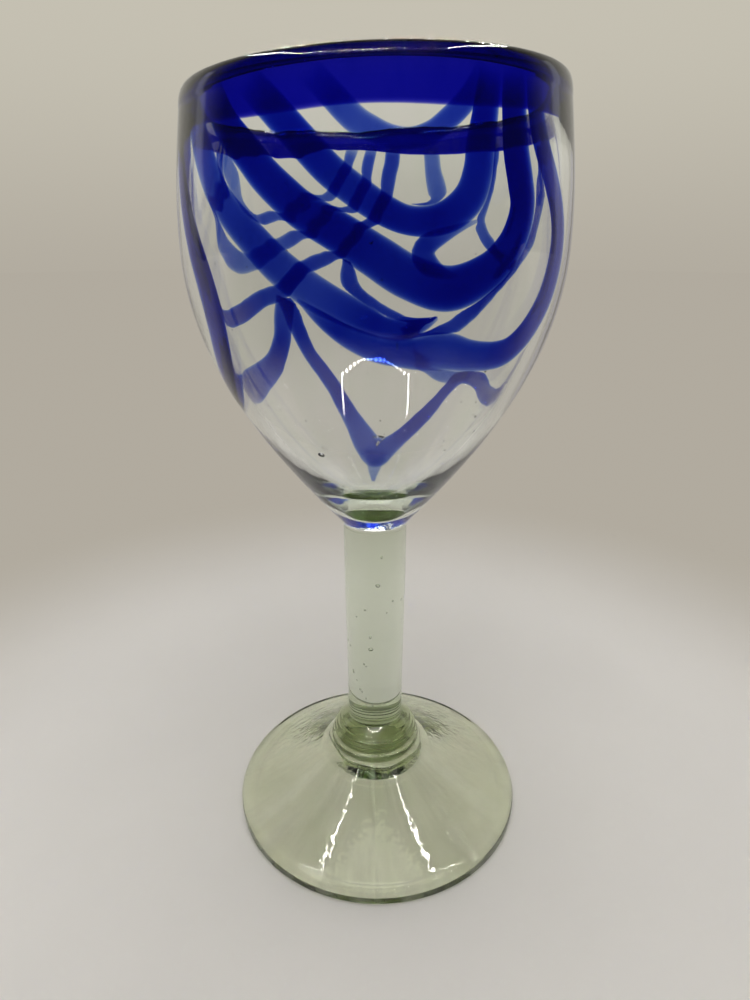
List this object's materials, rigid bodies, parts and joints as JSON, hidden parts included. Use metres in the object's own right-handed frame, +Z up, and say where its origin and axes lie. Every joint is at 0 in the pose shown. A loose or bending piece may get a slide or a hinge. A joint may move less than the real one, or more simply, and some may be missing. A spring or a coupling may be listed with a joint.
{
  "type": "stemmed goblet",
  "caption": "Hand-blown stemmed goblet: tapered round bowl with a cobalt lip and looping cobalt trails, solid stem, ringed knop and hollow conical foot.",
  "frame": {"origin": "centre of the foot's rest ring, on the table", "axes": "+Z up the stem to the bowl's mouth, -Y towards the side with the front trails, +X to that side's right"},
  "size_m": [0.0825, 0.0838, 0.1799],
  "materials": {
    "clear_glass": "fire-polished, faint green cast, with seeds and bubbles",
    "green_glass": "fire-polished, pale olive green, with fine tooling streaks",
    "cobalt_glass": "fire-polished deep cobalt blue, soft at its edges",
    "rough_glass": "broken and part ground"
  },
  "bodies": {
    "root": {"foot": "green_glass", "pontil_mark": "rough_glass", "knop": "green_glass", "stem": "clear_glass", "bowl": "clear_glass", "lip_wrap": "cobalt_glass", "trail_front_upper": "cobalt_glass", "trail_front_middle": "cobalt_glass", "trail_front_lower": "cobalt_glass", "trail_front_link": "cobalt_glass", "trail_hem_upper": "cobalt_glass", "trail_hem_lower": "cobalt_glass", "trail_left": "cobalt_glass", "trail_back_upper": "cobalt_glass", "trail_back_middle": "cobalt_glass", "trail_back_lower": "cobalt_glass", "trail_back_hook": "cobalt_glass", "trail_back_chevron": "cobalt_glass", "trail_back_side": "cobalt_glass", "trail_back_deep": "cobalt_glass"}
  },
  "joints": []
}
